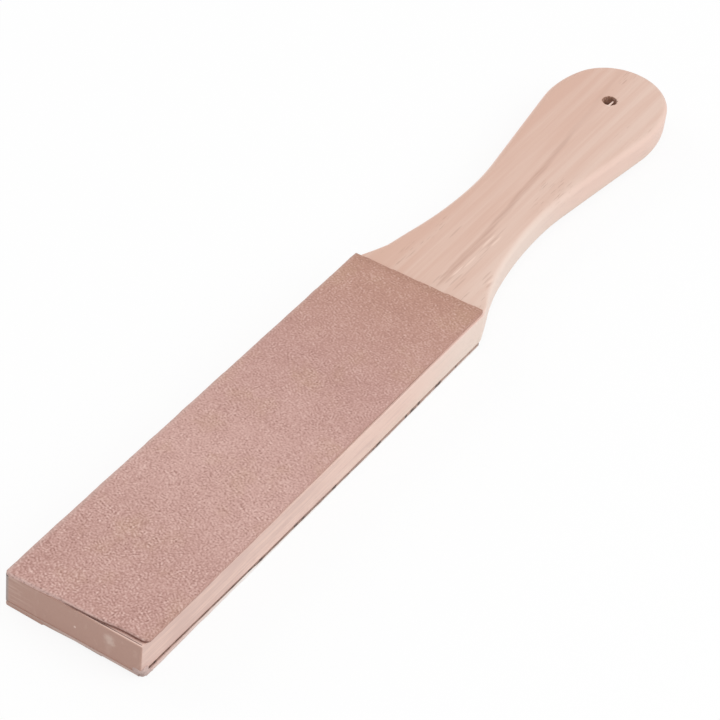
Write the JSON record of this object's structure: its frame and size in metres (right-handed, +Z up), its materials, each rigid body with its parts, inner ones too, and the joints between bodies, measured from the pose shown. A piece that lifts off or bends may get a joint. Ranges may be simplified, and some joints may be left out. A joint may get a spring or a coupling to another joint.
{
  "type": "paddle strop",
  "caption": "Flat wooden paddle strop with a shaped handle and a hang hole, faced on both sides with glued suede leather for finishing a straight razor's edge.",
  "frame": {"origin": "on the surface that the strop lies on, under the middle of its overall length and of its width", "axes": "+X along the strop from the leather-faced board to the handle's tip, +Y across the board, +Z up out of the upper leather"},
  "size_m": [0.35, 0.05, 0.0156],
  "materials": {
    "wood": "sanded, unvarnished pale hardwood",
    "suede": "rough suede, undyed pinkish beige",
    "glue": "dried contact glue"
  },
  "bodies": {
    "root": {"wooden_paddle": "wood", "upper_leather": "suede", "lower_leather": "suede", "upper_glue": "glue", "lower_glue": "glue"}
  },
  "joints": []
}
